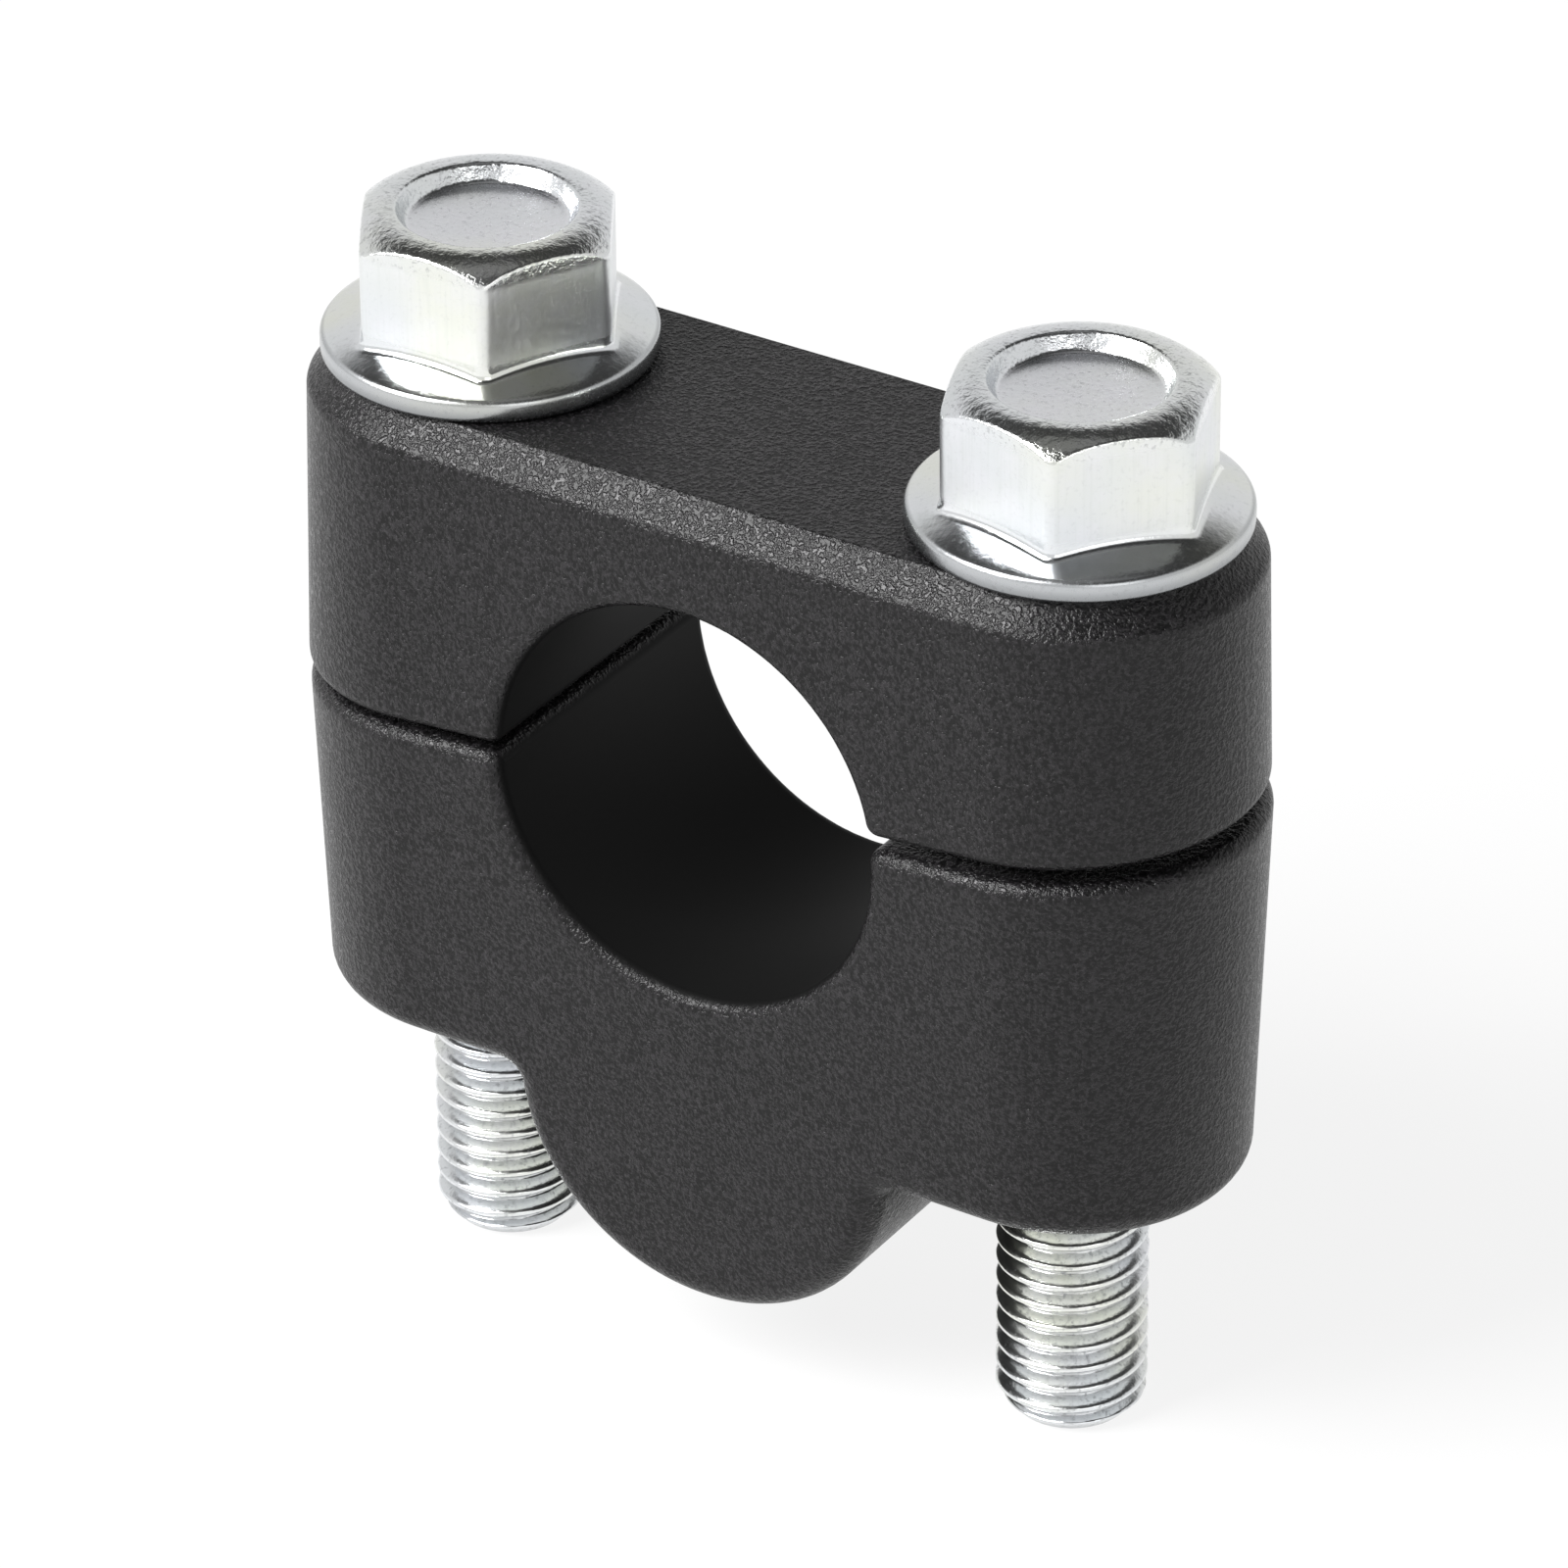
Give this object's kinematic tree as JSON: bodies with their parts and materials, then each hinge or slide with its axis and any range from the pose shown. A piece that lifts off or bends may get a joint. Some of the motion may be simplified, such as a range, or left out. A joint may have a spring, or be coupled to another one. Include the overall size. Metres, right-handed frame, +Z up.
{
  "type": "motorcycle handlebar riser",
  "caption": "Cast riser block and clamp cap that hold a round handlebar, joined by two hexagon flange bolts reaching down past a round lobe that sits in the clamp below.",
  "frame": {"origin": "centre of the clamped bar, midway along the clamp", "axes": "+Y along the bar, +X from the left bolt to the right bolt, +Z up, from the motorcycle's own clamp towards the bolt heads"},
  "size_m": [0.0546, 0.0196, 0.0601],
  "materials": {
    "black_coat": "fine-grained matt black coating on a cast surface",
    "zinc_plate": "bright zinc plating, slightly streaked"
  },
  "bodies": {
    "block": {"riser_block": "black_coat"},
    "cap": {"clamp_cap": "black_coat"},
    "left_bolt": {"flange_bolt_left": "zinc_plate"},
    "right_bolt": {"flange_bolt_right": "zinc_plate"}
  },
  "joints": [
    {"name": "cap_lift", "type": "slide", "parent": "block", "child": "cap", "axis": [0, 0, 1], "range_m": [0, 0.034]},
    {"name": "left_bolt_turn", "type": "hinge", "parent": "cap", "child": "left_bolt", "pos_m": [-0.0175, 0, 0.01735], "axis": [0, 0, 1], "continuous": true},
    {"name": "right_bolt_turn", "type": "hinge", "parent": "cap", "child": "right_bolt", "pos_m": [0.0175, 0, 0.01735], "axis": [0, 0, 1], "continuous": true}
  ]
}
